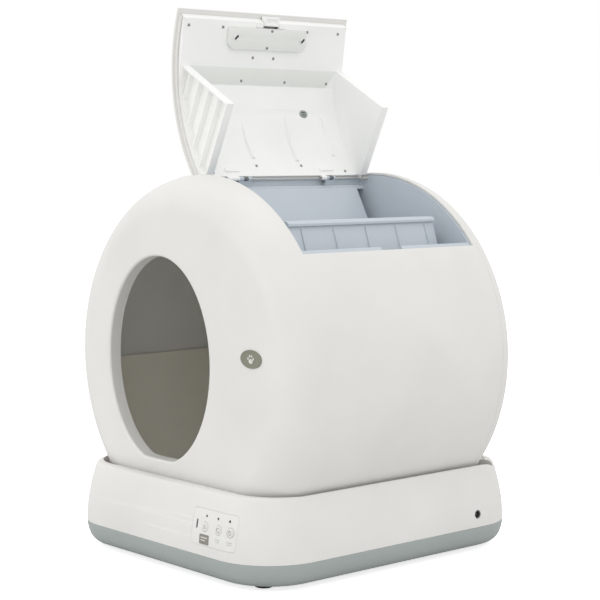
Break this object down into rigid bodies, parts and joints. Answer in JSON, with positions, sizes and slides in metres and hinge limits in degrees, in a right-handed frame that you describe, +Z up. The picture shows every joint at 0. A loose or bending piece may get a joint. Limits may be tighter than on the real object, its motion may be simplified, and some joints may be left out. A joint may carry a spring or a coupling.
{
  "type": "automatic self-cleaning litter tray",
  "caption": "Self-cleaning litter tray: a round drum with an oval entrance rolls in a low base; a hinged top lid stands open over a lift-out waste bin.",
  "frame": {"origin": "on the floor under the middle of the base", "axes": "+Z up, entrance facing -Y, +X to the right seen from the entrance; the drum's axis runs along Y"},
  "size_m": [0.53, 0.52, 0.7931],
  "materials": {
    "white_plastic": "satin moulded, very fine grain",
    "liner_plastic": "satin moulded, very fine grain",
    "grey_plastic": "satin moulded, fine grain",
    "bin_plastic": "satin moulded",
    "inner_plastic": "satin moulded",
    "badge_plastic": "satin badge with a raised pale mark",
    "dark_plastic": "matte dark",
    "rubber": "matte",
    "nylon": "natural nylon",
    "carbon_foam": "open-cell carbon pad",
    "circuit_board": "solder mask",
    "steel": "zinc plated"
  },
  "bodies": {
    "base": {"base_tray": "grey_plastic", "base_shell": "white_plastic", "control_panel": "liner_plastic", "panel_label": "dark_plastic", "panel_sensor": "dark_plastic", "led_1": "dark_plastic", "led_2": "dark_plastic", "led_3": "dark_plastic", "control_board": "circuit_board", "power_socket": "dark_plastic", "gear_motor": "steel", "motor_bracket": "steel", "foot_front_left": "rubber", "foot_front_right": "rubber", "foot_rear_left": "rubber", "foot_rear_right": "rubber", "roller_axle_left": "steel", "roller_axle_right": "steel", "roller_bracket_front_left": "nylon", "roller_bracket_rear_left": "nylon", "roller_bracket_front_right": "nylon", "roller_bracket_rear_right": "nylon"},
    "drum": {"drum_shell": "white_plastic", "drum_rear_cover": "white_plastic", "gear_disc": "nylon", "litter_bed": "inner_plastic", "upper_liner": "white_plastic", "sieve_grille": "inner_plastic", "bin_tub": "bin_plastic", "waste_bin": "bin_plastic", "drum_badge": "badge_plastic", "hinge_bracket_front": "bin_plastic", "hinge_pin_front": "steel", "hinge_bracket_rear": "bin_plastic", "hinge_pin_rear": "steel"},
    "lid": {"lid_shell": "white_plastic", "lid_liner": "liner_plastic", "carbon_filter": "carbon_foam", "filter_cover": "liner_plastic"},
    "latch": {"lid_latch": "liner_plastic"},
    "filter_lock_front": {"turn_lock_front": "dark_plastic"},
    "filter_lock_rear": {"turn_lock_rear": "dark_plastic"},
    "pinion": {"drive_pinion": "nylon"},
    "roller_front_left_body": {"roller_front_left": "rubber"},
    "roller_rear_left_body": {"roller_rear_left": "rubber"},
    "roller_front_right_body": {"roller_front_right": "rubber"},
    "roller_rear_right_body": {"roller_rear_right": "rubber"},
    "key_1": {"button_1": "liner_plastic"},
    "key_2": {"button_2": "liner_plastic"},
    "key_3": {"button_3": "liner_plastic"}
  },
  "joints": [
    {"name": "drum_roll", "type": "hinge", "parent": "base", "child": "drum", "pos_m": [0, 0, 0.29], "axis": [0, -1, 0], "range_deg": [-60, 90]},
    {"name": "lid_hinge", "type": "hinge", "parent": "drum", "child": "lid", "pos_m": [-0.02074, 0, 0.54777], "axis": [0, -1, 0], "range_deg": [-122.5, 0]},
    {"name": "latch_slide", "type": "slide", "parent": "lid", "child": "latch", "axis": [-0.1436, 0, -0.9896], "range_m": [0, 0.003], "stiffness_N_per_m": 400},
    {"name": "filter_lock_front_turn", "type": "hinge", "parent": "lid", "child": "filter_lock_front", "pos_m": [-0.05606, -0.066, 0.75514], "axis": [0.9896, 0, -0.1436], "range_deg": [0, 90]},
    {"name": "filter_lock_rear_turn", "type": "hinge", "parent": "lid", "child": "filter_lock_rear", "pos_m": [-0.05606, 0.063, 0.75514], "axis": [0.9896, 0, -0.1436], "range_deg": [0, 90]},
    {"name": "pinion_spin", "type": "hinge", "parent": "base", "child": "pinion", "pos_m": [0.1325, 0.196, 0.0605], "axis": [0, -1, 0], "continuous": true},
    {"name": "roller_front_left_spin", "type": "hinge", "parent": "base", "child": "roller_front_left_body", "pos_m": [-0.14801, -0.14, 0.05314], "axis": [0, -1, 0], "continuous": true},
    {"name": "roller_rear_left_spin", "type": "hinge", "parent": "base", "child": "roller_rear_left_body", "pos_m": [-0.14801, 0.15, 0.05314], "axis": [0, -1, 0], "continuous": true},
    {"name": "roller_front_right_spin", "type": "hinge", "parent": "base", "child": "roller_front_right_body", "pos_m": [0.14801, -0.14, 0.05314], "axis": [0, -1, 0], "continuous": true},
    {"name": "roller_rear_right_spin", "type": "hinge", "parent": "base", "child": "roller_rear_right_body", "pos_m": [0.14801, 0.15, 0.05314], "axis": [0, -1, 0], "continuous": true},
    {"name": "button_1_press", "type": "slide", "parent": "base", "child": "key_1", "axis": [0, 1, 0], "range_m": [0, 0.0009], "stiffness_N_per_m": 600},
    {"name": "button_2_press", "type": "slide", "parent": "base", "child": "key_2", "axis": [0, 1, 0], "range_m": [0, 0.0009], "stiffness_N_per_m": 600},
    {"name": "button_3_press", "type": "slide", "parent": "base", "child": "key_3", "axis": [0, 1, 0], "range_m": [0, 0.0009], "stiffness_N_per_m": 600}
  ],
  "couplings": [
    {"joint": "pinion_spin", "follows": "drum_roll", "ratio": -7.8333},
    {"joint": "roller_front_left_spin", "follows": "drum_roll", "ratio": -18.929},
    {"joint": "roller_rear_left_spin", "follows": "drum_roll", "ratio": -18.929},
    {"joint": "roller_front_right_spin", "follows": "drum_roll", "ratio": -18.929},
    {"joint": "roller_rear_right_spin", "follows": "drum_roll", "ratio": -18.929}
  ]
}
